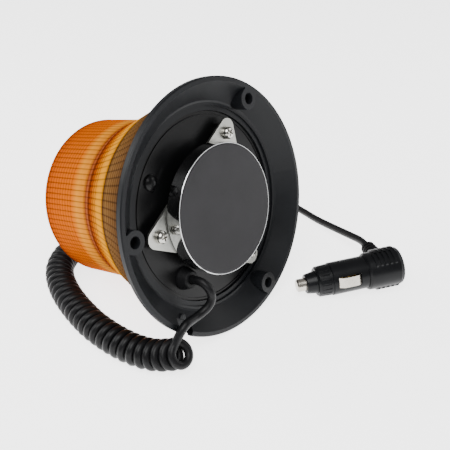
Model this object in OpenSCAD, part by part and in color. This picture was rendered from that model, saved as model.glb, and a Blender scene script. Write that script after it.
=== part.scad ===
// Magnetic LED warning beacon on a curly cord with a lighter-socket plug.
// The beacon is drawn upright on its magnet, z = 0 at the rim plane, and then laid on its side.

/* [Base flange] */
// Outside diameter of the base flange
flange_d = 146; // [140:1:160]
// Height of the flange's side wall
flange_h = 4; // [3:0.5:5]
// Width of the flat rim round the underside
rim_w = 2.8; // [2:0.2:4]
// Bolt circle of the three mounting lugs
lug_pcd = 130; // [126:1:132]
// Turn of the first lug from the top of the laid beacon
lug_turn = 35.7; // [0:0.1:60]
// Radius of each lug
lug_r = 6.3; // [6:0.1:8]
// Diameter of each mounting hole
bolt_hole_d = 6.6; // [5:0.1:7]
// Depth of each blind mounting hole
bolt_hole_depth = 5; // [4:0.5:5]
// Depth of the inner cover's face below the rim
bowl_depth = 12.5; // [12:0.5:14]
// Turn of the cable notch from the top of the laid beacon
notch_turn = -139.7; // [-143:0.1:-139]
// Width of the cable notch
notch_w = 11.5; // [10:0.5:12]

/* [Magnet] */
// Outside diameter of the magnet's steel cup
magnet_d = 74.2; // [70:0.2:80]
// How far the magnet stands proud of the rim
magnet_proud = 3.5; // [2:0.5:6]
// Height of the magnet's steel cup
cup_h = 10; // [9:0.5:11]
// Half width of the three-cornered bracket, from its centre to a side
bracket_in_r = 28.5; // [27.5:0.5:29]
// Corner radius of the bracket
bracket_corner_r = 5.5; // [5:0.5:7]
// Thickness of the bracket
bracket_t = 1.5; // [1:0.1:2]
// Turn of the bracket's first corner from the top of the laid beacon
bracket_turn = 29.5; // [25:0.5:35]
// Distance of the bracket's screws from the centre
screw_circle_r = 43; // [42:0.5:44]

/* [Lens] */
// Diameter of the lens's straight upper part
lens_d = 98.6; // [96:0.2:102]
// Height of the lens's end above the rim plane
lens_h = 103; // [98:1:110]
// Outside diameter of the lens's flared foot
skirt_d = 139.6; // [138:0.2:140]
// Height at which the flare ends and the straight part starts
flare_top = 62; // [58:1:66]
// How hollow the flare is (1 is a straight cone)
flare_power = 1.22; // [1:0.02:1.4]
// Wall of the lens
lens_wall = 2.4; // [2:0.1:3]
// Radius round the lens's end
lens_edge_r = 4; // [3:0.5:5]

/* [LED unit] */
// Height of the housing's deck above the rim plane
deck_top = 33; // [31:0.5:34]
// Height of the LED drum
drum_h = 25; // [22:0.5:26]
// Number of flat sides on the LED drum
drum_sides = 10; // [8:1:12]
// Distance from the drum's axis to a flat side
drum_in_r = 33; // [28:0.5:34]
// LEDs one above the other on each board
leds_per_board = 3; // [1:1:3]

/* [Cord] */
// Diameter of the cable
cable_d = 5; // [4.8:0.1:5.2]
// Outside diameter of the curly part
curl_d = 18; // [17:0.5:18]

/* [Plug] */
// Diameter of the plug's barrel
barrel_d = 20.8; // [20:0.1:21]
// Diameter of the plug's head
head_d = 24.4; // [24:0.2:26]
// Overall length of the plug, tip to end cap
plug_l = 68.6; // [67:0.2:70]
// Diameter of the tip pin
tip_d = 8.2; // [7:0.1:8.6]
// How far the tip pin stands out of the nose
tip_out = 5.5; // [5:0.1:6]
// How far each side contact stands proud of the barrel
contact_proud = 1.4; // [1:0.1:1.6]

/* [Hidden] */
$fn = 96;

gap = 0.05;                         // fit between parts that sit in each other
flange_r = flange_d / 2;
rim_in_r = flange_r - rim_w;
skirt_r = skirt_d / 2;
lens_r = lens_d / 2;
skirt_z = 6;                        // height of the ledge that the lens stands on

// Throat of the bowl, where the inner cover is seated
throat_r = 58;
throat_z = bowl_depth - 2.5;
cover_r = 54.3;
cover_t = 2.5;
cover_back = bowl_depth + cover_t;
cavity_mouth_r = 50.5;
seal_r = 52.4;
seal_d = 1.6;

// Magnet and bracket, measured from the rim plane up
bracket_z = cup_h - magnet_proud;   // face of the bracket that the cup sits on
cup_wall = 1.8;
cup_floor = 2;
pad_t = 1.1;
lip_w = 0.45;                       // bright edge of the cup, round the pad
pad_proud = 0.2;
magnet_r = magnet_d / 2;
rivet_r = 3;
rivet_head_r = 6;
screw_r = 1.95;
screw_head_r = 3.6;
screw_head_h = 2.6;
washer_t = 1;

// Lying pose: the flange's upper edge and the lens's end edge both touch the ground
flange_foot_z = flange_h - 0.8;
end_r = lens_r - lens_edge_r;
end_z = lens_h - lens_edge_r;
foot_dr = flange_r - end_r;
foot_dz = end_z - flange_foot_z;
tilt = acos(lens_edge_r / norm([foot_dr, foot_dz])) - atan2(foot_dz, foot_dr);
rise = flange_r * cos(tilt) + flange_foot_z * sin(tilt);
y_low = -flange_r * sin(tilt);
y_high = end_z * cos(tilt) + end_r * sin(tilt) + lens_edge_r;
shift_y = -(y_low + y_high) / 2;

// Polar angle of a feature that is turned from the top of the laid beacon
function from_top(turn) = turn - 90;
function on_circle(r, a) = [r * cos(a), r * sin(a)];

gland_turn = -139;
gland_r = 43;
gland_xy = on_circle(gland_r, from_top(gland_turn));
gland_h = 6.5;
gland_bore_r = cable_d / 2 + 0.3;
tab_turn = -139.5;
tab_r = 64.5;
tab_z = 4.6;
tab_peg_r = 2.2;
vent_turn = -53.3;
vent_r = 45.5;

// Outside radius of the lens at height z
function flare(z) = pow(max(0, flare_top - z) / (flare_top - skirt_z), flare_power);
function lens_out(z) = lens_r + (skirt_r - lens_r) * flare(z);
function lens_in(z) = lens_out(z) - lens_wall;
flare_steps = 14;
flare_z = [for (i = [0:flare_steps]) skirt_z + (flare_top - skirt_z) * i / flare_steps];

// Housing wall, which follows the lens from inside
house_gap = 1;
house_wall = 2.6;
deck_t = 2.6;
house_z = [for (i = [0:6]) skirt_z + 1 + (deck_top - skirt_z - 1) * i / 6];
room_top = deck_top - deck_t;
room_z = [for (i = [0:5]) cover_back + 2 + (room_top - cover_back - 2) * i / 5];

// LED unit
plate_t = 1.6;
plate_r = 46;
plate_z = deck_top + drum_h;
board_t = 1.2;

// Plug stations along its axis, from the tip
cone_end = 12.4;
collar_end = 21.7;
barrel_end = 44.9;
boss_u = 58;
window_from = 24.5;
window_to = 39.5;
window_w = 7;
barrel_r = barrel_d / 2;
head_r = head_d / 2;
tip_r = tip_d / 2;
bore_r = 5.6;
fuse_from = cone_end + 1.5;
fuse_l = 30;
fuse_r = 3.2;
spring_from = fuse_from + fuse_l;
spring_l = 7;
terminal_u = spring_from + spring_l;
terminal_t = 1.2;
contact_t = 0.6;
contact_leg_r = barrel_r - 4;          // inner end of each contact's legs
collar_clear = 0.25;
thread_r = 8.5;
thread_from = collar_end - 5.5;
relief_l = 12;
relief_r = 5.4;
boss_reach = 14;
nose_r = 10;
rib_proud = 0.7;                       // grip ribs on the head
rib_pitch = 3.1;
rib_from = barrel_end + 4.5;
contact_turn = -14.5;                  // turn of the side contacts from the cable outlet's plane
// The plug lies on its first grip rib and on the front edge of its nose collar
head_foot_r = head_r + rib_proud;
nose_foot_r = nose_r - 0.4;
nose_foot_u = cone_end + 1;
plug_pitch = atan((head_foot_r - nose_foot_r) / (rib_from - nose_foot_u));
plug_yaw = -36.7;
plug_roll = 0.5;
plug_lift = 0.1;
plug_at = [41.6, -71.9, nose_foot_r * cos(plug_pitch) - nose_foot_u * sin(plug_pitch) + plug_lift];

// Route of the cable from the gland, over the rim, to the curly part
lead_pts = [
    [-28, -46, 38], [-28, -50, 39], [-28, -54, 40], [-27.5, -58, 39], [-27, -61, 36],
    [-27, -62, 32], [-29.5, -62, 28], [-33.5, -61, 25.5], [-38, -60.5, 24.5],
    [-43, -61, 25], [-48, -61.5, 25]
];
// Route of the curly part's centre line along the ground, from the end that the lead lifts
curl_h = curl_d / 2;
curl_pts = [
    [-53, -65, curl_h + 2.5], [-61.5, -53.5, curl_h], [-66.5, -41, curl_h], [-68, -24, curl_h],
    [-66.5, -4, curl_h], [-61, 19, curl_h], [-53.5, 38.5, curl_h], [-43.5, 54.5, curl_h],
    [-31, 64.5, curl_h], [-14, 71, curl_h], [4, 73.5, curl_h], [22, 73, curl_h],
    [40, 68, curl_h], [57, 60, curl_h], [72, 49, curl_h], [85, 36, curl_h]
];
// Route of the cable from the curly part to the plug's strain relief
tail_h = cable_d / 2;
tail_pts = [
    [87, 35, tail_h], [98, 32, tail_h], [110, 28, tail_h], [121, 22, tail_h], [130, 14, tail_h],
    [135.5, 5, tail_h], [136.5, -4, tail_h], [134, -13, 3], [127, -30, 5], [120, -48.5, 8],
    [113.5, -67, 11], [109, -77.5, 13], [104, -84.5, 14]
];

// ---------- helpers ----------

module laid() {
    translate([0, shift_y, rise])
        rotate([-(90 + tilt), 0, 0])
            children();
}

module plugged() {
    translate(plug_at)
        rotate([0, -plug_pitch, plug_yaw])
            rotate([plug_roll, 0, 0])
                children();
}

// Copies at three corners, the first one turned from the top
module three_at(r, turn) {
    for (i = [0:2])
        rotate([0, 0, from_top(turn) + i * 120])
            translate([r, 0, 0])
                children();
}

module ring(r_in, r_out, h) {
    rotate_extrude()
        translate([r_in, 0])
            square([r_out - r_in, h]);
}

// A solid of revolution round the x axis, from points [along, radius]
module turned_x(points) {
    rotate([0, 90, 0])
        rotate_extrude()
            polygon([for (p = points) [p[1], p[0]]]);
}

// Catmull-Rom point between p1 and p2
function smooth(p0, p1, p2, p3, t) =
    0.5 * ((2 * p1) + (p2 - p0) * t + (2 * p0 - 5 * p1 + 4 * p2 - p3) * t * t
        + (3 * p1 - p0 - 3 * p2 + p3) * t * t * t);

function along(pts, n) = [
    for (i = [0:len(pts) - 2]) for (k = [0:n - 1])
        smooth(pts[max(i - 1, 0)], pts[i], pts[i + 1], pts[min(i + 2, len(pts) - 1)], k / n),
    pts[len(pts) - 1]
];

function unit(v) = v / norm(v);

// Direction of a path at each of its points
function heading(path, i) =
    unit(path[min(i + 1, len(path) - 1)] - path[max(i - 1, 0)]);

// One ring of a tube, square to the path, with its first point to the side
function tube_ring(path, i, r, sides) =
    let (d = heading(path, i), s = unit(cross(d, [0, 0, 1])), u = cross(s, d))
    [for (k = [0:sides - 1]) path[i] + r * (cos(360 * k / sides) * s + sin(360 * k / sides) * u)];

module tube(path, r, sides) {
    n = len(path);
    points = [for (i = [0:n - 1]) each tube_ring(path, i, r, sides)];
    near_end = [[for (k = [0:sides - 1]) k]];
    far_end = [[for (k = [sides - 1:-1:0]) (n - 1) * sides + k]];
    wall = [
        for (i = [0:n - 2]) for (k = [0:sides - 1])
            let (a = i * sides + k, b = i * sides + (k + 1) % sides)
            each [[a, a + sides, b], [b, a + sides, b + sides]]
    ];
    polyhedron(points, concat(near_end, far_end, wall), convexity = 8);
}

// ---------- base ----------

// Outline of the housing, with the bowl below and the electronics room above
module housing_outline() {
    polygon(concat(
        [
            [rim_in_r, 0], [flange_r - 0.6, 0], [flange_r, 0.6],
            [flange_r, flange_foot_z], [flange_r - 1, flange_h],
            [skirt_r + 0.6, skirt_z], [lens_in(skirt_z) - 0.2, skirt_z]
        ],
        [for (z = house_z) [lens_in(z) - house_gap, z]],
        [[0, deck_top], [0, room_top]],
        [for (i = [5:-1:0]) [lens_in(room_z[i]) - house_gap - house_wall, room_z[i]]],
        [
            [cavity_mouth_r, room_z[0]], [cavity_mouth_r, cover_back],
            [cover_r + 0.2, cover_back], [cover_r + 0.2, throat_z + 1.2],
            [throat_r - 0.6, throat_z + 1.2], [throat_r - 0.6, throat_z],
            [throat_r + 0.8, throat_z], [throat_r + 2, throat_z - 0.5]
        ]
    ));
}

// Everything inside the housing's outer face, up to the bowl's throat
module lug_limit() {
    rotate_extrude()
        polygon([
            [0, 0], [rim_in_r + 0.8, 0], [rim_in_r + 0.8, flange_h - 0.5],
            [lens_in(skirt_z) - house_gap - 0.5, skirt_z],
            [lens_in(throat_z) - house_gap - 0.5, throat_z - 0.7], [0, throat_z - 0.7]
        ]);
}

// One mounting lug, standing on the bowl's wall, with its web to the rim
module lug() {
    intersection() {
        union() {
            translate([lug_pcd / 2, 0, 0]) cylinder(r = lug_r, h = throat_z);
            translate([lug_pcd / 2, -lug_r * 0.8, 0])
                cube([rim_in_r - lug_pcd / 2 + 0.5, lug_r * 1.6, 2]);
        }
        lug_limit();
    }
}

// Small peg on the bowl's wall that keeps the cable in its notch
module guide_tab() {
    intersection() {
        translate([tab_r, 0, tab_z]) cylinder(r = tab_peg_r, h = throat_z - tab_z);
        lug_limit();
    }
}

module base_housing() color([0.12, 0.125, 0.13]) laid() difference() {
    union() {
        rotate_extrude() housing_outline();
        for (i = [0:2]) rotate([0, 0, from_top(lug_turn) + i * 120]) lug();
        rotate([0, 0, from_top(tab_turn)]) guide_tab();
    }
    three_at(lug_pcd / 2, lug_turn)
        translate([0, 0, -1]) cylinder(d = bolt_hole_d, h = bolt_hole_depth + 1);
    translate([0, 0, cover_back - 0.1]) ring(seal_r - seal_d / 2, seal_r + seal_d / 2, 1.4);
    rotate([0, 0, from_top(notch_turn)])
        translate([rim_in_r - 6, -notch_w / 2, -1]) cube([12, notch_w, 5.2]);
    rotate([0, 0, from_top(notch_turn)])
        translate([rim_in_r - 6, 0, -1]) cylinder(d = notch_w, h = 5.2);
    // wire hole through the deck
    translate([20, 12, room_top - 1]) cylinder(r = 3, h = deck_t + 2);
    for (a = [0:90:270]) rotate([0, 0, a + 45])
        translate([20, 0, room_top - 1]) cylinder(r = 1.6, h = deck_t + 2);
}

module base_cover() color([0.09, 0.09, 0.095]) laid() difference() {
    union() {
        translate([0, 0, bowl_depth]) cylinder(r = cover_r, h = cover_t);
        three_at(screw_circle_r, bracket_turn)
            translate([0, 0, bracket_z + bracket_t])
                cylinder(r = 5.2, h = cover_back + 4 - bracket_z - bracket_t);
    }
    three_at(screw_circle_r, bracket_turn)
        translate([0, 0, bracket_z]) cylinder(r = screw_r + gap, h = cover_back + 2.5 - bracket_z);
    // decorative groove near the edge
    translate([0, 0, bowl_depth - 1]) ring(cover_r - 2.2, cover_r - 1.4, 1.5);
    translate([gland_xy[0], gland_xy[1], bowl_depth - 1]) cylinder(r = 5 + gap, h = cover_t + 2);
    rotate([0, 0, from_top(vent_turn)])
        translate([vent_r, 0, bowl_depth - 1]) cylinder(r = 3 + gap, h = cover_t + 2);
}

module cover_seal() color([0.05, 0.05, 0.05]) laid()
    translate([0, 0, cover_back])
        ring(seal_r - seal_d / 2 + gap, seal_r + seal_d / 2 - gap, 1.25);

module vent_plug() color([0.08, 0.08, 0.085]) laid()
    rotate([0, 0, from_top(vent_turn)])
        translate([vent_r, 0, 0])
            rotate_extrude()
                polygon([
                    [0, bowl_depth - 2.6], [1.6, bowl_depth - 2.5], [3, bowl_depth - 2],
                    [4.1, bowl_depth - 1.1], [4.7, bowl_depth], [3, bowl_depth],
                    [3, cover_back + 0.6], [0, cover_back + 0.6]
                ]);

module cable_gland() color([0.07, 0.07, 0.075]) laid()
    translate([gland_xy[0], gland_xy[1], 0])
        rotate_extrude()
            polygon([
                [gland_bore_r, bowl_depth - gland_h], [4.4, bowl_depth - gland_h],
                [5, bowl_depth - gland_h + 0.6], [6.6, bowl_depth - 1], [6.6, bowl_depth],
                [5, bowl_depth], [5, cover_back], [6.2, cover_back], [5.6, cover_back + 2],
                [gland_bore_r, cover_back + 2]
            ]);

// ---------- magnet ----------

bracket_d = 2 * (bracket_in_r - bracket_corner_r);  // centre to each corner's round

module bracket_outline() {
    corners = [for (i = [0:2]) from_top(bracket_turn) + 120 * i];
    polygon([
        for (a = corners) for (s = [-60, 60])
            on_circle(bracket_d, a) + on_circle(bracket_corner_r, a + s)
    ]);
    for (a = corners) translate(on_circle(bracket_d, a)) circle(r = bracket_corner_r);
}

module magnet_bracket() color([0.78, 0.78, 0.76]) laid() difference() {
    translate([0, 0, bracket_z]) linear_extrude(bracket_t) bracket_outline();
    three_at(screw_circle_r, bracket_turn)
        translate([0, 0, bracket_z - 1]) cylinder(r = 2.2, h = bracket_t + 2);
    translate([0, 0, bracket_z - 1]) cylinder(r = rivet_r + gap, h = bracket_t + 2);
}

head_z = bracket_z - washer_t;      // seat of the screw heads

module pan_screw(r, head_r, head_h, length) {
    difference() {
        rotate_extrude()
            polygon([
                [0, -head_h], [head_r * 0.45, -head_h * 0.97], [head_r * 0.75, -head_h * 0.82],
                [head_r * 0.93, -head_h * 0.55], [head_r, -head_h * 0.22], [head_r, 0],
                [r, 0], [r, length - 1], [r - 0.8, length], [0, length]
            ]);
        for (a = [0, 90]) rotate([0, 0, a])
            translate([-head_r * 0.55, -0.45, -head_h - 1]) cube([head_r * 1.1, 0.9, 2.4]);
    }
}

module bracket_screws() color([0.82, 0.81, 0.77]) laid()
    three_at(screw_circle_r, bracket_turn)
        translate([0, 0, head_z]) pan_screw(screw_r, screw_head_r, screw_head_h, 11);

module spring_washers() color([0.6, 0.6, 0.58]) laid()
    three_at(screw_circle_r, bracket_turn)
        translate([0, 0, head_z]) difference() {
            ring(screw_r + 0.15, 3.75, washer_t);
            rotate([0, 0, 200]) translate([0, -0.3, -1]) cube([5, 0.6, 3]);
        }

module magnet_cup() color([0.75, 0.76, 0.78]) laid() difference() {
    rotate_extrude()
        polygon([
            [rivet_r + gap, bracket_z], [magnet_r - 1.2, bracket_z],
            [magnet_r - 0.35, bracket_z - 0.35], [magnet_r, bracket_z - 1.2],
            [magnet_r, -magnet_proud + 0.2], [magnet_r - 0.2, -magnet_proud],
            [magnet_r - lip_w, -magnet_proud], [magnet_r - lip_w, -magnet_proud + pad_t],
            [magnet_r - cup_wall, -magnet_proud + pad_t],
            [magnet_r - cup_wall, bracket_z - cup_floor], [rivet_r + gap, bracket_z - cup_floor]
        ]);
}

module magnet_ring() color([0.2, 0.2, 0.21]) laid()
    translate([0, 0, -magnet_proud + pad_t])
        ring(rivet_head_r + 1.5, magnet_r - cup_wall - gap, cup_h - cup_floor - pad_t);

module magnet_pad() color([0.22, 0.22, 0.235]) laid()
    rotate_extrude()
        polygon([
            [0, -magnet_proud + pad_t], [0, -magnet_proud - pad_proud],
            [magnet_r - 1.4, -magnet_proud - pad_proud],
            [magnet_r - lip_w - gap, -magnet_proud + 0.2],
            [magnet_r - lip_w - gap, -magnet_proud + pad_t]
        ]);

module magnet_rivet() color([0.7, 0.7, 0.68]) laid() {
    translate([0, 0, bracket_z - cup_floor - 1.5]) cylinder(r = rivet_head_r, h = 1.5);
    translate([0, 0, bracket_z - cup_floor]) cylinder(r = rivet_r, h = cup_floor + bracket_t);
    translate([0, 0, bracket_z + bracket_t]) cylinder(r = rivet_head_r - 1, h = 1.8);
}

// ---------- lens and LED unit ----------

module lens() color([1, 0.5, 0.05, 0.6]) laid()
    rotate_extrude()
        polygon(concat(
            [for (z = flare_z) [lens_out(z), z]],
            [
                for (a = [0:15:90])
                    [lens_r - lens_edge_r + lens_edge_r * cos(a),
                     lens_h - lens_edge_r + lens_edge_r * sin(a)]
            ],
            [[0, lens_h], [0, lens_h - lens_wall]],
            [
                for (a = [90:-30:0])
                    [lens_r - lens_edge_r + (lens_edge_r - lens_wall) * cos(a),
                     lens_h - lens_edge_r + (lens_edge_r - lens_wall) * sin(a)]
            ],
            [for (i = [flare_steps:-1:0]) [lens_in(flare_z[i]), flare_z[i]]]
        ));

seal_from = 9;
seal_to = 11;

module lens_seal() color([0.3, 0.3, 0.3]) laid()
    rotate_extrude()
        polygon([
            [lens_in(seal_from) - gap, seal_from], [lens_in(seal_to) - gap, seal_to],
            [lens_in(seal_to) - house_gap + gap, seal_to],
            [lens_in(seal_from) - house_gap + gap, seal_from]
        ]);

module drum_outline(in_r) {
    side = 360 / drum_sides;
    polygon([for (i = [0:drum_sides - 1]) on_circle(in_r / cos(side / 2), (i + 0.5) * side)]);
}

module led_drum() color([0.85, 0.85, 0.86]) laid() difference() {
    translate([0, 0, deck_top]) linear_extrude(drum_h) drum_outline(drum_in_r);
    translate([0, 0, deck_top - 1]) cylinder(r = drum_in_r - 5, h = drum_h - 3);
    for (a = [0:90:270]) rotate([0, 0, a + 45])
        translate([20, 0, plate_z - 5]) cylinder(r = 1.3, h = 6);
}

module led_boards() color([0.93, 0.93, 0.9]) laid()
    for (i = [0:drum_sides - 1]) rotate([0, 0, i * 360 / drum_sides])
        translate([drum_in_r, -8, deck_top + 1.5]) cube([board_t, 16, drum_h - 3]);

led_w = 5;

module led_chips() color([1, 0.85, 0.2]) laid()
    for (i = [0:drum_sides - 1]) rotate([0, 0, i * 360 / drum_sides])
        for (k = [0:leds_per_board - 1])
            translate([drum_in_r + board_t, -led_w / 2,
                       deck_top + drum_h * (k + 0.5) / leds_per_board - led_w / 2])
                cube([1.6, led_w, led_w]);

module drum_plate() color([0.3, 0.27, 0.3]) laid() difference() {
    translate([0, 0, plate_z]) cylinder(r = plate_r, h = plate_t);
    for (a = [0:90:270]) rotate([0, 0, a + 45])
        translate([20, 0, plate_z - 1]) cylinder(r = 1.6, h = plate_t + 2);
}

module drum_screws() color([0.7, 0.7, 0.68]) laid()
    for (a = [0:90:270]) rotate([0, 0, a + 45])
        translate([20, 0, plate_z + plate_t]) mirror([0, 0, 1]) pan_screw(1.25, 2.6, 1.8, 6);

// ---------- electronics ----------

board_z = 24;
board_r = 40;
board_plate_t = 1.6;

module driver_board() color([0.1, 0.4, 0.2]) laid() difference() {
    translate([0, 0, board_z]) cylinder(r = board_r, h = board_plate_t);
    three_at(33, 90) translate([0, 0, board_z - 1]) cylinder(r = 1.7, h = board_plate_t + 2);
}

module board_posts() color([0.8, 0.7, 0.35]) laid()
    three_at(33, 90) translate([0, 0, board_z + board_plate_t])
        ring(1.3, 3, room_top - board_z - board_plate_t);

module board_screws() color([0.7, 0.7, 0.68]) laid()
    three_at(33, 90) translate([0, 0, board_z]) pan_screw(1.25, 2.6, 1.8, 5.5);

module driver_parts() color([0.12, 0.12, 0.14]) laid() {
    // two capacitors lying flat, a choke, a controller chip and two transistors
    for (x = [-8, 6]) translate([x, 10, board_z - 4.2]) rotate([90, 0, 0]) cylinder(r = 4.2, h = 14);
    translate([-20, -12, board_z - 6]) ring(2.5, 7, 6);
    translate([6, -22, board_z - 1.8]) cube([12, 8, 1.8]);
    for (x = [-4, 20]) translate([x, 18, board_z - 2.4]) cube([6.5, 6.5, 2.4]);
}

// A wire of two straight runs and a quarter bend, from the gland to the board
module supply_wire(offset) {
    bend = 4;
    end_r = gland_r - 12;
    rotate([0, 0, from_top(gland_turn)]) translate([0, offset, 0]) {
        translate([gland_r, 0, cover_back]) cylinder(r = 0.7, h = 2);
        translate([gland_r - bend, 0, cover_back + 2])
            rotate([90, 0, 0]) rotate_extrude(angle = 90) translate([bend, 0]) circle(r = 0.7);
        translate([end_r, 0, cover_back + 2 + bend])
            rotate([0, 90, 0]) cylinder(r = 0.7, h = gland_r - bend - end_r);
        translate([end_r, 0, cover_back + 2 + bend - 0.7])
            cylinder(r = 0.7, h = board_z - cover_back - 2 - bend + 0.7);
    }
}

module wire_red() color([0.75, 0.08, 0.06]) laid() supply_wire(-0.9);

module wire_black() color([0.06, 0.06, 0.06]) laid() supply_wire(0.9);

// ---------- cord ----------

module cord_lead() color([0.1, 0.1, 0.11]) tube(along(lead_pts, 3), cable_d / 2, 8);

module curly_cord() color([0.12, 0.12, 0.13]) tube(along(curl_pts, 3), curl_d / 2, 12);

module cord_tail() color([0.1, 0.1, 0.11]) tube(along(tail_pts, 2), cable_d / 2, 8);

// ---------- plug ----------

module plug_barrel() color([0.07, 0.07, 0.075]) plugged() difference() {
    turned_x([
        [thread_from, bore_r], [thread_from, thread_r - 0.5], [thread_from + 0.5, thread_r],
        [collar_end, thread_r], [collar_end, barrel_r - 0.2], [collar_end + 0.3, barrel_r],
        [barrel_end, barrel_r], [barrel_end, bore_r]
    ]);
    for (s = [0, 180])
        rotate([contact_turn + s, 0, 0])
            translate([window_from, 0, -window_w / 2])
                cube([window_to - window_from, barrel_r + 2, window_w]);
}

module plug_end_cap() color([0.35, 0.36, 0.37]) plugged()
    turned_x([
        [plug_l - 2.6, 0], [plug_l - 2.6, head_r - 0.4], [plug_l - 1.6, head_r - 0.5],
        [plug_l - 0.7, head_r - 1.4], [plug_l - 0.2, head_r - 3.2], [plug_l, head_r - 6],
        [plug_l, 0]
    ]);

// Ribs across the top and the bottom of the plug's head, in two staggered halves
module grip_ribs() {
    intersection() {
        turned_x([
            [rib_from, head_r - 1], [rib_from, head_foot_r],
            [plug_l - 3.4, head_foot_r], [plug_l - 3.4, head_r - 1]
        ]);
        for (side = [0, 180]) rotate([side, 0, 0]) for (k = [0:4]) {
            translate([rib_from + k * rib_pitch, -9, 0]) cube([1.5, 9, head_r + 2]);
            translate([rib_from + (k + 0.5) * rib_pitch, -0.01, 0]) cube([1.5, 9, head_r + 2]);
        }
    }
}

module plug_head() color([0.09, 0.09, 0.095]) plugged() difference() {
    union() {
        turned_x([
            [barrel_end, 0], [barrel_end, head_r - 1.2], [barrel_end + 1.2, head_r - 0.4],
            [barrel_end + 8, head_r - 0.1], [plug_l - 3.2, head_r], [plug_l - 2.6, head_r - 0.4],
            [plug_l - 2.6, 0]
        ]);
        grip_ribs();
        translate([boss_u, 0, 0]) rotate([-90, 0, 0]) cylinder(r1 = 7, r2 = 6.4, h = boss_reach);
    }
    translate([barrel_end - 1, 0, 0]) rotate([0, 90, 0])
        cylinder(r = bore_r, h = terminal_u + terminal_t - barrel_end + 1);
    translate([terminal_u, 0, 0]) rotate([0, 90, 0]) cylinder(r = 1.65, h = 4.5);
    translate([boss_u, 0, 0]) rotate([-90, 0, 0]) cylinder(r = 3, h = boss_reach + 1);
}

module plug_strain_relief() color([0.08, 0.08, 0.085]) plugged()
    translate([boss_u, boss_reach, 0]) rotate([-90, 0, 0])
        rotate_extrude()
            polygon(concat(
                [[0, -8], [3 - gap, -8], [3 - gap, 0], [relief_r + 0.6, 0]],
                [
                    for (k = [0:3]) each [
                        [relief_r - 0.25 * k, 1 + 2.8 * k], [relief_r - 0.25 * k, 2.6 + 2.8 * k],
                        [relief_r - 0.9 - 0.25 * k, 2.7 + 2.8 * k],
                        [relief_r - 0.9 - 0.25 * k, 3.7 + 2.8 * k]
                    ]
                ],
                [[relief_r - 1.7, relief_l + 0.6], [0, relief_l + 0.6]]
            ));

collar_ribs = 20;

module nose_collar() color([0.07, 0.07, 0.075]) plugged() difference() {
    turned_x([
        [cone_end, 7.3], [cone_end, nose_r - 1.4], [cone_end + 1, nose_r - 0.4],
        [collar_end - 0.2, nose_r], [collar_end - 0.2, thread_r + collar_clear],
        [cone_end + 1.6, thread_r + collar_clear], [cone_end + 1.6, 7.3]
    ]);
    for (k = [0:collar_ribs - 1]) rotate([k * 360 / collar_ribs, 0, 0])
        translate([cone_end + 1.6, 0, nose_r + 0.2]) rotate([0, 90, 0]) cylinder(r = 0.7, h = 6);
}

module nose_cone() color([0.06, 0.06, 0.065]) plugged()
    turned_x([
        [tip_out, tip_r + 0.15], [tip_out, 5.6], [tip_out + 0.6, 6.2], [cone_end - 0.2, 7.2],
        [cone_end + 1.7, 7.2], [cone_end + 1.7, 8.2], [thread_from, 8.2],
        [thread_from, 5.4], [cone_end - 1, 5.4], [cone_end - 1, tip_r + 0.15]
    ]);

module tip_pin() color([0.8, 0.78, 0.74]) plugged()
    turned_x([
        [0, 0], [0, tip_r - 0.7], [0.7, tip_r], [cone_end - 0.8, tip_r],
        [cone_end - 0.8, 5.2], [fuse_from, 5.2], [fuse_from, 0]
    ]);

module fuse_tube() color([0.8, 0.85, 0.85, 0.5]) plugged()
    translate([fuse_from + 6, 0, 0]) rotate([0, 90, 0]) cylinder(r = fuse_r - 0.2, h = fuse_l - 12);

module fuse_caps() color([0.8, 0.8, 0.78]) plugged()
    for (u = [fuse_from, fuse_from + fuse_l - 6])
        translate([u, 0, 0]) rotate([0, 90, 0]) cylinder(r = fuse_r, h = 6);

spring_turns = 5;
spring_wire = 0.4;
spring_r = 3.2;

module fuse_spring() color([0.7, 0.7, 0.68]) plugged() {
    start = spring_from + spring_wire + gap;
    run = spring_l - 2 * spring_wire - 2 * gap;
    steps = spring_turns * 10;
    tube_x([
        for (i = [0:steps])
            [start + run * i / steps, spring_r * cos(36 * i), spring_r * sin(36 * i)]
    ], spring_wire, 6);
}

// A tube whose rings stand square to a path that winds round the x axis
module tube_x(path, r, sides) {
    n = len(path);
    points = [
        for (i = [0:n - 1])
            let (out = unit([0, path[i][1], path[i][2]]))
            for (k = [0:sides - 1])
                path[i] + r * (cos(360 * k / sides) * out + sin(360 * k / sides) * [1, 0, 0])
    ];
    near_end = [[for (k = [sides - 1:-1:0]) k]];
    far_end = [[for (k = [0:sides - 1]) (n - 1) * sides + k]];
    wall = [
        for (i = [0:n - 2]) for (k = [0:sides - 1])
            let (a = i * sides + k, b = i * sides + (k + 1) % sides)
            each [[a, b, a + sides], [b, b + sides, a + sides]]
    ];
    polyhedron(points, concat(near_end, far_end, wall), convexity = 8);
}

module rear_terminal() color([0.8, 0.65, 0.3]) plugged()
    translate([terminal_u, 0, 0]) rotate([0, 90, 0]) {
        cylinder(r = bore_r - gap, h = terminal_t);
        cylinder(r = 1.6, h = 4);
    }

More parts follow.
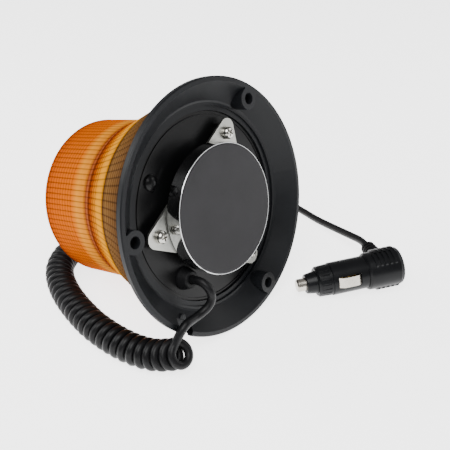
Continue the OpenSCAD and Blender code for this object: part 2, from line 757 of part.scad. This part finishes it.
// A bowed contact plate that slides square to the plug's axis
module side_contact() {
    translate([0, 0, -(window_w - 0.6) / 2]) linear_extrude(window_w - 0.6)
        polygon([
            [window_from + 0.3, contact_leg_r], [window_from + 0.3, barrel_r - 0.6],
            [window_from + 3, barrel_r + contact_proud - 0.3],
            [window_from + 6, barrel_r + contact_proud],
            [window_to - 5, barrel_r + contact_proud],
            [window_to - 2, barrel_r + contact_proud - 0.4],
            [window_to - 0.3, barrel_r - 0.6], [window_to - 0.3, contact_leg_r],
            [window_to - 0.3 - contact_t, contact_leg_r],
            [window_to - 0.3 - contact_t, barrel_r - 0.8],
            [window_to - 2.3, barrel_r + contact_proud - 1],
            [window_to - 5, barrel_r + contact_proud - contact_t],
            [window_from + 6, barrel_r + contact_proud - contact_t],
            [window_from + 3.3, barrel_r + contact_proud - 0.9],
            [window_from + 0.3 + contact_t, barrel_r - 0.8], [window_from + 0.3 + contact_t, contact_leg_r]
        ]);
}

module side_contact_front() color([0.8, 0.79, 0.72]) plugged()
    rotate([contact_turn + 180, 0, 0]) side_contact();

module side_contact_back() color([0.8, 0.79, 0.72]) plugged()
    rotate([contact_turn, 0, 0]) side_contact();

// Brass clip that joins the two contacts round the fuse chamber
module contact_clip() color([0.8, 0.65, 0.3]) plugged()
    translate([window_from + 2, 0, 0]) rotate([0, 90, 0])
        ring(fuse_r + 1, fuse_r + 1.8, window_to - window_from - 4);

// ---------- the parts ----------

base_housing();
base_cover();
cover_seal();
vent_plug();
cable_gland();
magnet_bracket();
bracket_screws();
spring_washers();
magnet_cup();
magnet_ring();
magnet_pad();
magnet_rivet();
lens();
lens_seal();
led_drum();
led_boards();
led_chips();
drum_plate();
drum_screws();
driver_board();
board_posts();
board_screws();
driver_parts();
wire_red();
wire_black();
cord_lead();
curly_cord();
cord_tail();
plug_barrel();
plug_head();
plug_end_cap();
plug_strain_relief();
nose_collar();
nose_cone();
tip_pin();
fuse_tube();
fuse_caps();
fuse_spring();
rear_terminal();
side_contact_front();
side_contact_back();
contact_clip();
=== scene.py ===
import math

import bpy
from mathutils import Matrix, Vector


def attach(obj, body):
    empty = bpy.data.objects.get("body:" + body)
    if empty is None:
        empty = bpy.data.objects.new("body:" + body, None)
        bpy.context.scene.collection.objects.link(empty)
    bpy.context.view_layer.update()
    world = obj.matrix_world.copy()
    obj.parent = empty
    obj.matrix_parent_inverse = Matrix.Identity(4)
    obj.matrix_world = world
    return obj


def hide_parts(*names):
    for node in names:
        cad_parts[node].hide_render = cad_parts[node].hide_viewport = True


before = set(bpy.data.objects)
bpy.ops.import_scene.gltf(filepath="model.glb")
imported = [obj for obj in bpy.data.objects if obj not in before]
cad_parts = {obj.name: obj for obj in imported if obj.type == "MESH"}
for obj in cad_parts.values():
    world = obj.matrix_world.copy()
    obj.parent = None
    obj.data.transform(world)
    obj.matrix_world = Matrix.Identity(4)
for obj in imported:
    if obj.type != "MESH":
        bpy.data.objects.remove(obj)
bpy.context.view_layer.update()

MM = 0.001

# ---------- the beacon's own frame, upright on its magnet, and how it lies ----------

FLANGE_R = 73
FLANGE_FOOT_Z = 3.2
LENS_R = 49.3
LENS_EDGE_R = 4
LENS_H = 103
LENS_WALL = 2.4
SKIRT_R = 69.8
SKIRT_Z = 6
FLARE_TOP = 62
FLARE_POWER = 1.22

END_R = LENS_R - LENS_EDGE_R
END_Z = LENS_H - LENS_EDGE_R
FOOT = (FLANGE_R - END_R, END_Z - FLANGE_FOOT_Z)
TILT = math.acos(LENS_EDGE_R / math.hypot(*FOOT)) - math.atan2(FOOT[1], FOOT[0])
RISE = FLANGE_R * math.cos(TILT) + FLANGE_FOOT_Z * math.sin(TILT)
Y_LOW = -FLANGE_R * math.sin(TILT)
Y_HIGH = END_Z * math.cos(TILT) + END_R * math.sin(TILT) + LENS_EDGE_R
SHIFT_Y = -(Y_LOW + Y_HIGH) / 2
LAID = (Matrix.Translation((0, SHIFT_Y * MM, RISE * MM))
        @ Matrix.Rotation(-math.pi / 2 - TILT, 4, "X"))

# ---------- camera ----------

CAMERA_AT = Vector((-0.2606, -0.2704, 0.2548))
CAMERA_AZIMUTH = math.radians(49.6)
CAMERA_DOWN = math.radians(29.45)
SENSOR_MM = 36
FOCAL_MM = 55.49


def make_camera():
    """The photograph's view: level, looking down at the beacon from the magnet side."""
    data = bpy.data.cameras.new("camera")
    data.sensor_width = SENSOR_MM
    data.lens = FOCAL_MM
    camera = bpy.data.objects.new("camera", data)
    bpy.context.scene.collection.objects.link(camera)
    look = Vector((math.sin(CAMERA_AZIMUTH) * math.cos(CAMERA_DOWN),
                   math.cos(CAMERA_AZIMUTH) * math.cos(CAMERA_DOWN),
                   -math.sin(CAMERA_DOWN)))
    camera.location = CAMERA_AT
    camera.rotation_euler = look.to_track_quat("-Z", "Y").to_euler()
    bpy.context.scene.camera = camera


make_camera()

# ---------- cord ----------

CABLE_D = 5
CURL_H = 9
CURL_MEAN_R = CURL_H - CABLE_D / 2
CURL_PITCH = 5.5
NEAR_PITCH = 5.05
TURN_POINTS = 16
CENTRE_STEPS = 12
LAST_TURN_PART = 0.25
# The pitch widens from the near end's to the rest's over about this many turns
PITCH_EASE = 8
TAIL_H = 2.5
TUBE_RINGS = 3
TUBE_STEPS = 4
# The near end of the curly part is turned up towards the lead that pulls on it.
FIRST_TURN_AXIS = Vector((0.15, 0.77, -0.6)).normalized()
FIRST_TURN_LENGTH = 40
JOIN_TURN = 0.1

# The routes are part.scad's. The lead runs from the gland over the rim, the curl is the curly
# part's centre line, and the tail's first point lies under the curly part's last turn.
LEAD = [
    (-28, -46, 38), (-28, -50, 39), (-28, -54, 40), (-27.5, -58, 39), (-27, -61, 36),
    (-27, -62, 32), (-29.5, -62, 28), (-33.5, -61, 25.5), (-38, -60.5, 24.5),
    (-43, -61, 25), (-48, -61.5, 25),
]
CURL = [
    (-53, -65, CURL_H + 2.5), (-61.5, -53.5, CURL_H), (-66.5, -41, CURL_H), (-68, -24, CURL_H),
    (-66.5, -4, CURL_H), (-61, 19, CURL_H), (-53.5, 38.5, CURL_H), (-43.5, 54.5, CURL_H),
    (-31, 64.5, CURL_H), (-14, 71, CURL_H), (4, 73.5, CURL_H), (22, 73, CURL_H),
    (40, 68, CURL_H), (57, 60, CURL_H), (72, 49, CURL_H), (85, 36, CURL_H),
]
TAIL = [
    (87, 35, TAIL_H), (98, 32, TAIL_H), (110, 28, TAIL_H), (121, 22, TAIL_H), (130, 14, TAIL_H),
    (135.5, 5, TAIL_H), (136.5, -4, TAIL_H), (134, -13, 3), (127, -30, 5), (120, -48.5, 8),
    (113.5, -67, 11), (109, -77.5, 13), (104, -84.5, 14),
]


def smooth_path(points, steps):
    """Points along the Catmull-Rom curve through the given ones."""
    path = []
    last = len(points) - 1
    for i in range(last):
        a, b = points[max(i - 1, 0)], points[i]
        c, d = points[i + 1], points[min(i + 2, last)]
        for k in range(steps):
            t = k / steps
            path.append(0.5 * (2 * b + (c - a) * t + (2 * a - 5 * b + 4 * c - d) * t * t
                               + (3 * b - a - 3 * c + d) * t * t * t))
    path.append(points[last])
    return path


def at_length(path, lengths, s):
    """The point and the direction of a path at length s."""
    i = 0
    while i < len(path) - 2 and lengths[i + 1] < s:
        i += 1
    step = path[i + 1] - path[i]
    part = (s - lengths[i]) / step.length
    return path[i] + step * part, step.normalized()


def curl_points():
    """The left-handed helix of the curly part, along its centre line."""
    centre = smooth_path([Vector(p) for p in CURL], CENTRE_STEPS)
    lengths = [0]
    for a, b in zip(centre, centre[1:]):
        lengths.append(lengths[-1] + (b - a).length)
    turns = round(lengths[-1] / CURL_PITCH) + LAST_TURN_PART
    slack = (CURL_PITCH - NEAR_PITCH) / CURL_PITCH
    points = []
    steps = round((turns - JOIN_TURN) * TURN_POINTS)
    for k in range(steps + 1):
        turn = JOIN_TURN + (turns - JOIN_TURN) * k / steps
        eased = turn - slack * PITCH_EASE * (1 - math.exp(-turn / PITCH_EASE))
        s = lengths[-1] * eased / (turns - slack * PITCH_EASE)
        at, ahead = at_length(centre, lengths, s)
        near = max(0, 1 - s / FIRST_TURN_LENGTH)
        ahead = ahead.lerp(FIRST_TURN_AXIS, near * near * (3 - 2 * near)).normalized()
        left = Vector((0, 0, 1)).cross(ahead).normalized()
        up = ahead.cross(left)
        angle = 2 * math.pi * turn
        points.append(at + CURL_MEAN_R * (math.cos(angle) * up + math.sin(angle) * left))
    return points


def tube_curve(name, points, radius):
    """A round tube along a smooth curve through the points."""
    data = bpy.data.curves.new(name, "CURVE")
    data.dimensions = "3D"
    data.bevel_depth = 1
    data.bevel_resolution = TUBE_RINGS
    data.use_fill_caps = True
    data.resolution_u = TUBE_STEPS
    spline = data.splines.new("BEZIER")
    spline.bezier_points.add(len(points) - 1)
    for place, p in zip(spline.bezier_points, points):
        place.co = p * MM
        place.handle_left_type = "AUTO"
        place.handle_right_type = "AUTO"
        place.radius = radius * MM
    piece = bpy.data.objects.new(name, data)
    bpy.context.scene.collection.objects.link(piece)
    return piece


def make_cord():
    """The whole cord as one tube: the lead, the curly part and the tail to the plug."""
    helix = curl_points()
    # straight on from the last turn, in place of the tail's first point
    out = helix[-1] + CABLE_D * (helix[-1] - helix[-2]).normalized()
    points = [Vector(p) for p in LEAD] + helix + [out] + [Vector(p) for p in TAIL[1:]]
    cord = tube_curve("cord", points, CABLE_D / 2)
    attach(cord, "beacon")
    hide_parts("cord_lead", "curly_cord", "cord_tail")
    return cord


cord = make_cord()

# ---------- lens ----------

FLUTES = 96
FLUTE_POINTS = 6
FLARE_FLUTE_DEPTH = 0.12
FLUTE_DEPTH = 0.3

# Where the lens's zones begin, by height above the rim plane
GROOVE_Z = 33
BAND_Z = 35
BEADS_Z = 45
NECK_Z = 57
NECK_TOP_Z = FLARE_TOP
END_ROWS_Z = 74

GROOVE_DEPTH = 0.4
NECK_DEPTH = 0.5
FLARE_ROW_PITCH = 3.4
FLARE_ROW_DEPTH = 0.6
BEAD_PITCH = 3
BEAD_DEPTH = 0.4
END_ROW_PITCH = 2.6
END_ROW_DEPTH = 0.35
RING_PITCH = 4
RING_DEPTH = 0.5

OUTER_STEP = 0.4
INNER_STEP = 1.5
INNER_RING_STEP = 2
INNER_CORNER = 2
EDGE_STEP_DEG = 15


def flare(z):
    """How far the foot of the lens flares out at height z, from 0 to 1."""
    return (max(0, FLARE_TOP - z) / (FLARE_TOP - SKIRT_Z)) ** FLARE_POWER


def lens_out(z):
    """The lens's outer radius at height z, without its ridges."""
    return LENS_R + (SKIRT_R - LENS_R) * flare(z)


def ridge(z, pitch, depth):
    """A row of rounded ridges along z, which stand inward of the lens's surface."""
    return -depth * (0.5 - 0.5 * math.cos(2 * math.pi * z / pitch))


def lens_surface(z):
    """The lens's outer radius with the ridges of its zones."""
    r = lens_out(z)
    if z < GROOVE_Z:
        return r + ridge(z, FLARE_ROW_PITCH, FLARE_ROW_DEPTH)
    if z < BAND_Z:
        return r - GROOVE_DEPTH
    if z < BEADS_Z:
        return r
    if z < NECK_Z:
        return r + ridge(z, BEAD_PITCH, BEAD_DEPTH)
    if z < NECK_TOP_Z:
        return r - NECK_DEPTH
    if z < END_ROWS_Z:
        return r
    return r + ridge(z - END_ROWS_Z, END_ROW_PITCH, END_ROW_DEPTH)


def flute_depth(z):
    """How deep the flutes round the lens are cut at height z."""
    if z < GROOVE_Z:
        return FLARE_FLUTE_DEPTH
    if z < BAND_Z or NECK_Z < z < NECK_TOP_Z:
        return 0
    return FLUTE_DEPTH


def lens_rows():
    """Rows of the lens's closed wall as (radius, height, flute depth), outside then inside."""
    rows = []
    z = SKIRT_Z
    while z < END_Z:
        rows.append((lens_surface(z), z, -flute_depth(z)))
        z += OUTER_STEP
    for a in range(0, 91, EDGE_STEP_DEG):
        angle = math.radians(a)
        rows.append((END_R + LENS_EDGE_R * math.cos(angle),
                     END_Z + LENS_EDGE_R * math.sin(angle), 0))
    for r in range(int(END_R) - 1, 0, -1):
        rows.append((r, LENS_H + ridge(r, RING_PITCH, RING_DEPTH), 0))
    for r in range(INNER_RING_STEP, int(END_R) - 1, INNER_RING_STEP):
        rows.append((r, LENS_H - LENS_WALL, 0))
    rows.append((LENS_R - LENS_WALL - INNER_CORNER, LENS_H - LENS_WALL, 0))
    z = LENS_H - LENS_WALL - INNER_CORNER
    while z > SKIRT_Z:
        rows.append((lens_out(z) - LENS_WALL, z, flute_depth(z)))
        z -= INNER_STEP
    rows.append((lens_out(SKIRT_Z) - LENS_WALL, SKIRT_Z, 0))
    return rows


def make_lens():
    """The lens: its rows turned round the axis, with the flutes cut into them."""
    rows = lens_rows()
    count = FLUTES * FLUTE_POINTS
    verts = []
    for r, z, depth in rows:
        for k in range(count):
            angle = 2 * math.pi * k / count
            wave = abs(math.sin(FLUTES * angle / 2))
            at = r + depth * (1 - wave)
            verts.append(Vector((at * math.cos(angle), at * math.sin(angle), z)) * MM)
    faces = []
    for i in range(len(rows)):
        a, b = i * count, (i + 1) % len(rows) * count
        for k in range(count):
            n = (k + 1) % count
            faces.append((a + k, a + n, b + n, b + k))
    mesh = bpy.data.meshes.new("amber_lens")
    mesh.from_pydata(verts, [], faces)
    mesh.transform(LAID)
    mesh.polygons.foreach_set("use_smooth", [True] * len(mesh.polygons))
    lens = bpy.data.objects.new("amber_lens", mesh)
    bpy.context.scene.collection.objects.link(lens)
    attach(lens, "beacon")
    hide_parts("lens")
    return lens


lens = make_lens()

# ---------- materials ----------


def new_material(name, colour, roughness, metallic=0, **sockets):
    """A material and its shader, with any further sockets set by name."""
    material = bpy.data.materials.new(name)
    material.use_nodes = True
    shader = material.node_tree.nodes["Principled BSDF"]
    shader.inputs["Base Color"].default_value = (*colour, 1)
    shader.inputs["Roughness"].default_value = roughness
    shader.inputs["Metallic"].default_value = metallic
    for socket, value in sockets.items():
        shader.inputs[socket.replace("_", " ")].default_value = value
    return material, shader


def link(material, out_socket, in_socket):
    material.node_tree.links.new(out_socket, in_socket)


def place_and_noise(material, scale, detail, stretch=(1, 1, 1)):
    """Noise in the object's own space, with scale in waves per metre."""
    nodes = material.node_tree.nodes
    place = nodes.new("ShaderNodeTexCoord")
    mapping = nodes.new("ShaderNodeMapping")
    mapping.inputs["Scale"].default_value = stretch
    noise = nodes.new("ShaderNodeTexNoise")
    noise.inputs["Scale"].default_value = scale
    noise.inputs["Detail"].default_value = detail
    link(material, place.outputs["Object"], mapping.inputs["Vector"])
    link(material, mapping.outputs["Vector"], noise.inputs["Vector"])
    return noise


def vary(material, shader, socket, noise, low, high):
    """Drives a socket between two values with the noise."""
    span = material.node_tree.nodes.new("ShaderNodeMapRange")
    span.inputs["From Min"].default_value = 0.3
    span.inputs["From Max"].default_value = 0.7
    span.inputs["To Min"].default_value = low
    span.inputs["To Max"].default_value = high
    link(material, noise.outputs["Fac"], span.inputs["Value"])
    link(material, span.outputs["Result"], shader.inputs[socket])


def tint(material, shader, noise, dark, light):
    """Changes the base colour slowly between two shades with the noise."""
    ramp = material.node_tree.nodes.new("ShaderNodeValToRGB")
    ramp.color_ramp.elements[0].position = 0.35
    ramp.color_ramp.elements[0].color = (*dark, 1)
    ramp.color_ramp.elements[1].position = 0.65
    ramp.color_ramp.elements[1].color = (*light, 1)
    link(material, noise.outputs["Fac"], ramp.inputs["Fac"])
    link(material, ramp.outputs["Color"], shader.inputs["Base Color"])


def bump(material, shader, noise, strength, depth_mm):
    """A bump of the noise, with its depth in millimetres."""
    node = material.node_tree.nodes.new("ShaderNodeBump")
    node.inputs["Strength"].default_value = strength
    node.inputs["Distance"].default_value = depth_mm * MM
    link(material, noise.outputs["Fac"], node.inputs["Height"])
    link(material, node.outputs["Normal"], shader.inputs["Normal"])


def moulded(name, colour, roughness, grain=2200, depth=0.03, glare=0.14):
    """Moulded plastic or rubber: fine grain, and slow changes of shade and gloss."""
    material, shader = new_material(name, colour, roughness, Specular_IOR_Level=glare)
    slow = place_and_noise(material, 45, 3)
    tint(material, shader, slow, [c * 0.85 for c in colour], [c * 1.15 for c in colour])
    vary(material, shader, "Roughness", slow, roughness - 0.05, roughness + 0.06)
    bump(material, shader, place_and_noise(material, grain, 2), 0.5, depth)
    return material


def metal(name, colour, roughness, stretch=(1, 1, 1), depth=0.01):
    """Plated or bare metal with faint working marks."""
    material, shader = new_material(name, colour, roughness, 1)
    marks = place_and_noise(material, 600, 4, stretch)
    slow = place_and_noise(material, 70, 3)
    tint(material, shader, slow, [c * 0.93 for c in colour], [min(1, c * 1.04) for c in colour])
    vary(material, shader, "Roughness", marks, roughness * 0.8, roughness * 1.25)
    bump(material, shader, marks, 0.3, depth)
    return material


# Colour of the lens by height above the rim plane, in mm: the amber's colour with painted light
# and shade for what is seen in and through each zone, brighter where light shines through and
# darker in the groove, the neck and where the dark parts behind would show
LENS_TINT_AND_PAINTED_LIGHT = [
    (6, (0.02, 0.01, 0.006)), (14, (0.1, 0.045, 0.014)), (31, (0.15, 0.07, 0.02)),
    (34, (0.02, 0.005, 0)), (36, (0.45, 0.17, 0)), (41, (0.5, 0.2, 0)),
    (46, (0.46, 0.15, 0)), (53, (0.24, 0.04, 0)), (57, (0.08, 0.01, 0)),
    (59, (0.24, 0.06, 0.015)), (61, (0.14, 0.025, 0.005)), (63, (0.44, 0.14, 0.006)),
    (69, (0.5, 0.18, 0.01)), (74, (0.44, 0.09, 0)), (92, (0.42, 0.075, 0)),
    (103, (0.3, 0.04, 0)),
]

# Painted shade in the creases where two flutes meet
FLUTE_SHADE_SHARPNESS = 1.7
FLUTE_SHADE_DARKNESS = 0.6
ROW_SHADE_SHARPNESS = 1.5
# From, to, pitch and darkness of the painted shade on the rows' lines
ROW_SHADE_LINES = [
    (8, GROOVE_Z, FLARE_ROW_PITCH, 0.45), (BEADS_Z, NECK_Z, BEAD_PITCH, 0.6),
    (END_ROWS_Z, 100, END_ROW_PITCH, 0.45),
]


def math_node(material, operation, a, b=None):
    """The result of one Math node, whose inputs are numbers or other nodes' results."""
    node = material.node_tree.nodes.new("ShaderNodeMath")
    node.operation = operation
    for socket, value in zip(node.inputs, (a, b)):
        if isinstance(value, (int, float)):
            socket.default_value = value
        elif value is not None:
            link(material, value, socket)
    return node.outputs["Value"]


def multiplied(material, colour, shade):
    """The colour times the shade."""
    node = material.node_tree.nodes.new("ShaderNodeMix")
    node.data_type = "RGBA"
    node.blend_type = "MULTIPLY"
    node.inputs["Factor"].default_value = 1
    link(material, colour, node.inputs["A"])
    link(material, shade, node.inputs["B"])
    return node.outputs["Result"]


def lines(material, value, sharpness, darkness):
    """1, falling to 1 - darkness on a line at each whole multiple of pi."""
    wave = math_node(material, "ABSOLUTE", math_node(material, "SINE", value))
    flat = math_node(material, "MINIMUM", math_node(material, "MULTIPLY", wave, sharpness), 1)
    kept = math_node(material, "MULTIPLY", flat, darkness)
    return math_node(material, "ADD", kept, 1 - darkness)


def within_mm(material, height, low, high):
    """1 where the height is between the two, and 0 elsewhere."""
    above = math_node(material, "GREATER_THAN", height, low)
    below = math_node(material, "LESS_THAN", height, high)
    return math_node(material, "MULTIPLY", above, below)


def amber():
    """Amber plastic, with painted light and shade by height for its zones, and painted shade on
    the lines of its flutes and rows.
    """
    material, shader = new_material(
        "amber_polycarbonate", (0.8, 0.2, 0.005), 0.25, Transmission_Weight=0.03, IOR=1.49,
        Specular_IOR_Level=0)
    nodes = material.node_tree.nodes
    place = nodes.new("ShaderNodeTexCoord")
    upright = nodes.new("ShaderNodeMapping")
    upright.vector_type = "TEXTURE"
    upright.inputs["Location"].default_value = LAID.to_translation()
    upright.inputs["Rotation"].default_value = LAID.to_euler()
    split = nodes.new("ShaderNodeSeparateXYZ")
    link(material, place.outputs["Object"], upright.inputs["Vector"])
    link(material, upright.outputs["Vector"], split.inputs["Vector"])
    height = math_node(material, "MULTIPLY", split.outputs["Z"], 1 / MM)
    # painted light and shade by height, over the amber's own hue
    ramp = nodes.new("ShaderNodeValToRGB")
    stops = ramp.color_ramp.elements
    stops.remove(stops[1])
    stops[0].position = 0
    stops[0].color = (*LENS_TINT_AND_PAINTED_LIGHT[0][1], 1)
    for z, shade in LENS_TINT_AND_PAINTED_LIGHT:
        stops.new(z / LENS_H).color = (*shade, 1)
    link(material, math_node(material, "DIVIDE", height, LENS_H), ramp.inputs["Fac"])
    colour = ramp.outputs["Color"]
    # painted shade on the lines where two flutes meet
    around = math_node(material, "ARCTAN2", split.outputs["Y"], split.outputs["X"])
    flute = math_node(material, "MULTIPLY", around, FLUTES / 2)
    flute_shade = lines(material, flute, FLUTE_SHADE_SHARPNESS, FLUTE_SHADE_DARKNESS)
    colour = multiplied(material, colour, flute_shade)
    # painted shade on the lines between the rows of beads
    for low, high, pitch, darkness in ROW_SHADE_LINES:
        above = math_node(material, "SUBTRACT", height, low + pitch / 2)
        row = math_node(material, "MULTIPLY", above, math.pi / pitch)
        row_shade = lines(material, row, ROW_SHADE_SHARPNESS, darkness)
        dark = math_node(material, "SUBTRACT", 1, row_shade)
        zoned = math_node(material, "MULTIPLY", dark, within_mm(material, height, low, high))
        colour = multiplied(material, colour, math_node(material, "SUBTRACT", 1, zoned))
    link(material, colour, shader.inputs["Base Color"])
    vary(material, shader, "Roughness", place_and_noise(material, 60, 2), 0.2, 0.32)
    return material


def clear_glass():
    """The clear glass of the fuse's tube."""
    material, shader = new_material(
        "fuse_glass", (0.93, 0.97, 0.97), 0.02, Transmission_Weight=1, IOR=1.5)
    vary(material, shader, "Roughness", place_and_noise(material, 90, 2), 0.01, 0.05)
    return material


housing_black = moulded("housing_black", (0.0055, 0.006, 0.007), 0.4)
cover_black = moulded("cover_black", (0.0028, 0.0028, 0.003), 0.32)
rubber_black = moulded("rubber_black", (0.0035, 0.0035, 0.004), 0.55, 1500, 0.04)
pad_black = moulded("pad_black", (0.018, 0.0175, 0.019), 0.6, 900, 0.05)
cord_black = moulded("cord_black", (0.0045, 0.0045, 0.005), 0.4, 1400, 0.03)
plug_black = moulded("plug_black", (0.0045, 0.0048, 0.0055), 0.34)
cap_grey = moulded("cap_grey", (0.02, 0.021, 0.023), 0.4)
zinc = metal("zinc", (0.36, 0.36, 0.335), 0.34)
screw_plate = metal("screw_plate", (0.42, 0.41, 0.38), 0.16)
chrome = metal("cup_chrome", (0.45, 0.455, 0.46), 0.12)
nickel = metal("contact_nickel", (0.46, 0.43, 0.38), 0.24)
brass = metal("brass", (0.75, 0.55, 0.22), 0.3)
aluminium = metal("drum_aluminium", (0.86, 0.86, 0.87), 0.32)
ferrite = moulded("ferrite", (0.06, 0.06, 0.065), 0.7)

NODE_MATERIALS = {
    "base_housing": housing_black,
    "base_cover": cover_black,
    "vent_plug": cover_black,
    "cable_gland": rubber_black,
    "cover_seal": rubber_black,
    "lens_seal": rubber_black,
    "plug_strain_relief": rubber_black,
    "magnet_bracket": zinc,
    "bracket_screws": screw_plate,
    "spring_washers": screw_plate,
    "magnet_rivet": screw_plate,
    "drum_screws": screw_plate,
    "board_screws": screw_plate,
    "magnet_cup": chrome,
    "magnet_ring": ferrite,
    "magnet_pad": pad_black,
    "led_drum": aluminium,
    "led_boards": moulded("board_white", (0.8, 0.8, 0.77), 0.35),
    "led_chips": moulded("led_yellow", (0.95, 0.7, 0.15), 0.25),
    "drum_plate": moulded("plate_dark", (0.06, 0.045, 0.06), 0.4),
    "driver_board": moulded("board_green", (0.02, 0.16, 0.05), 0.35),
    "board_posts": brass,
    "driver_parts": moulded("parts_dark", (0.025, 0.025, 0.03), 0.35),
    "wire_red": moulded("wire_red", (0.5, 0.02, 0.012), 0.4),
    "wire_black": rubber_black,
    "plug_barrel": plug_black,
    "plug_head": plug_black,
    "nose_collar": plug_black,
    "nose_cone": plug_black,
    "plug_end_cap": cap_grey,
    "tip_pin": nickel,
    "fuse_caps": nickel,
    "fuse_spring": nickel,
    "side_contact_front": nickel,
    "side_contact_back": nickel,
    "rear_terminal": brass,
    "contact_clip": brass,
    "fuse_tube": clear_glass(),
}

for node, material in NODE_MATERIALS.items():
    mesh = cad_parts[node].data
    mesh.materials.clear()
    mesh.materials.append(material)
cord.data.materials.append(cord_black)
lens.data.materials.append(amber())

# ---------- floor and light ----------

FLOOR_HALF = 3
# Just below z = 0, where the cord's drawn underside is
FLOOR_Z = -0.0002
LIGHTS_AIM = Vector((0, 0, 0.06))


def make_floor():
    """A plain pale floor, which glows so that it stays near white."""
    mesh = bpy.data.meshes.new("floor")
    corners = [(-1, -1), (1, -1), (1, 1), (-1, 1)]
    verts = [(x * FLOOR_HALF, y * FLOOR_HALF, FLOOR_Z) for x, y in corners]
    mesh.from_pydata(verts, [], [(0, 1, 2, 3)])
    floor = bpy.data.objects.new("floor", mesh)
    bpy.context.scene.collection.objects.link(floor)
    material, shader = new_material(
        "floor_pale", (0.6, 0.6, 0.6), 0.8, Emission_Color=(1, 1, 1, 1), Emission_Strength=3,
        Specular_IOR_Level=0.1)
    vary(material, shader, "Roughness", place_and_noise(material, 8, 2), 0.75, 0.85)
    mesh.materials.append(material)


def make_light(name, at, size, watts):
    """A round area light that points at the object."""
    data = bpy.data.lights.new(name, "AREA")
    data.shape = "DISK"
    data.size = size
    data.energy = watts
    light = bpy.data.objects.new(name, data)
    light.location = at
    light.rotation_euler = (LIGHTS_AIM - Vector(at)).to_track_quat("-Z", "Y").to_euler()
    bpy.context.scene.collection.objects.link(light)


def make_world():
    """Soft white light from all round."""
    world = bpy.data.worlds.new("studio")
    world.use_nodes = True
    background = world.node_tree.nodes["Background"]
    background.inputs["Color"].default_value = (1, 1, 1, 1)
    background.inputs["Strength"].default_value = 0.35
    bpy.context.scene.world = world


make_floor()
make_world()
make_light("key", (-0.5, -0.3, 1.0), 0.8, 16)
make_light("fill", (0.8, -0.5, 0.5), 0.6, 3)
make_light("back", (-0.6, 0.9, 0.8), 0.9, 14)
